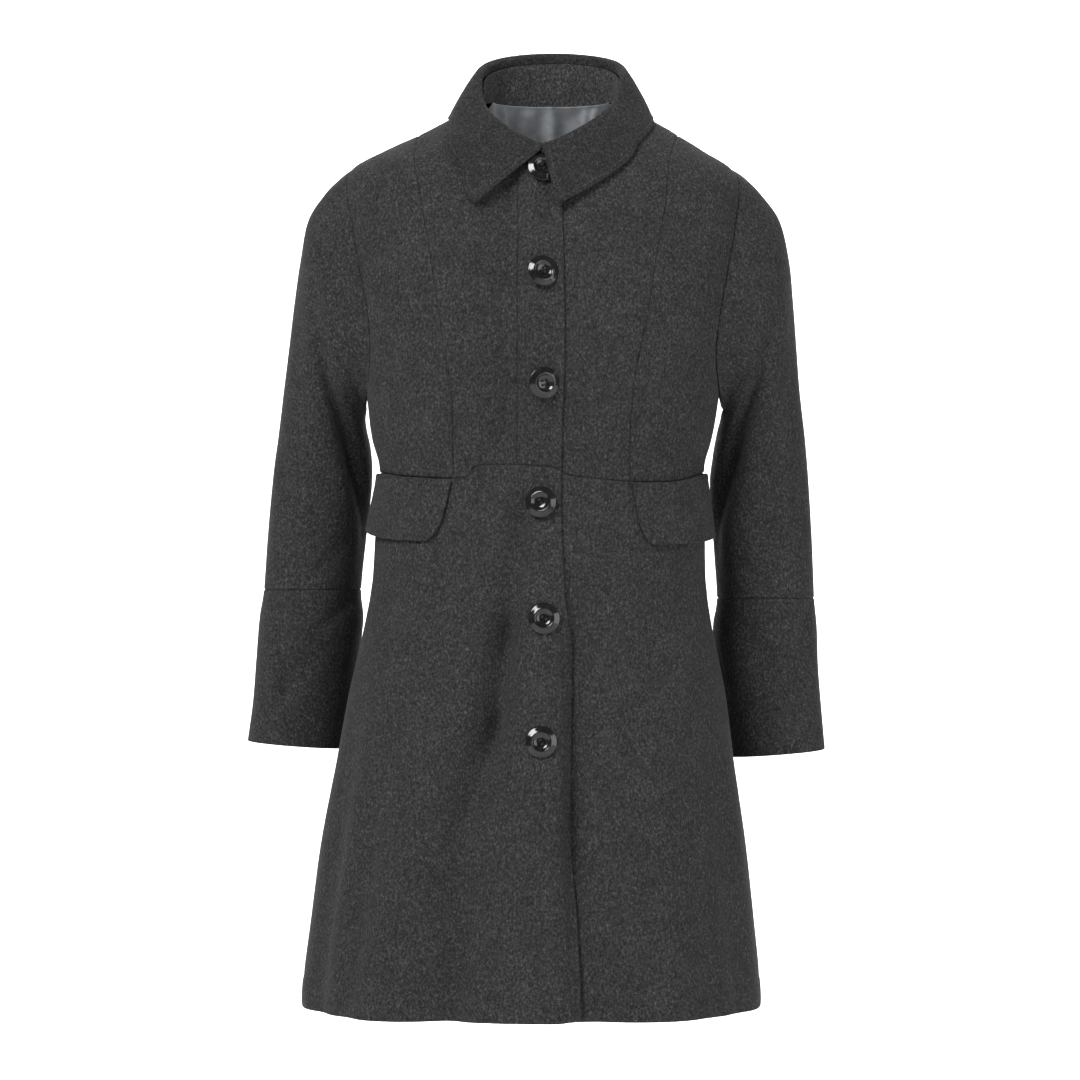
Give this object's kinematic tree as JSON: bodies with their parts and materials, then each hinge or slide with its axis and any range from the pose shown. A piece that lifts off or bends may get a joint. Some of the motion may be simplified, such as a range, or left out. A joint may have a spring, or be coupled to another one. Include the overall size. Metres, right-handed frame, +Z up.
{
  "type": "wool coat",
  "caption": "Knee-length charcoal wool coat with a flared skirt, filled out with no wearer, with a small collar, a waist seam, hip flaps and a buttoned front.",
  "frame": {"origin": "middle of the neck, level with the shoulder line that hangs on the wearer", "axes": "+Z up, the front faces -Y, +X is the wearer's left"},
  "size_m": [0.618, 0.3312, 0.9976],
  "materials": {
    "wool": "brushed charcoal melton, matt",
    "lining": "grey satin, soft shine",
    "button": "polished black"
  },
  "bodies": {
    "root": {"front_band": "wool", "front_centre_right": "wool", "front_side_right": "wool", "front_centre_left": "wool", "front_side_left": "wool", "back_bodice": "wool", "front_skirt_right": "wool", "front_skirt_left": "wool", "back_skirt": "wool", "sleeve_upper_right": "wool", "sleeve_lower_right": "wool", "sleeve_upper_left": "wool", "sleeve_lower_left": "wool", "collar_stand": "wool", "collar_fall": "wool", "pocket_flap_right": "wool", "pocket_flap_left": "wool", "lining_back_neck": "lining", "button_1": "button", "button_2": "button", "button_3": "button", "button_4": "button", "button_5": "button", "button_6": "button"}
  },
  "joints": []
}
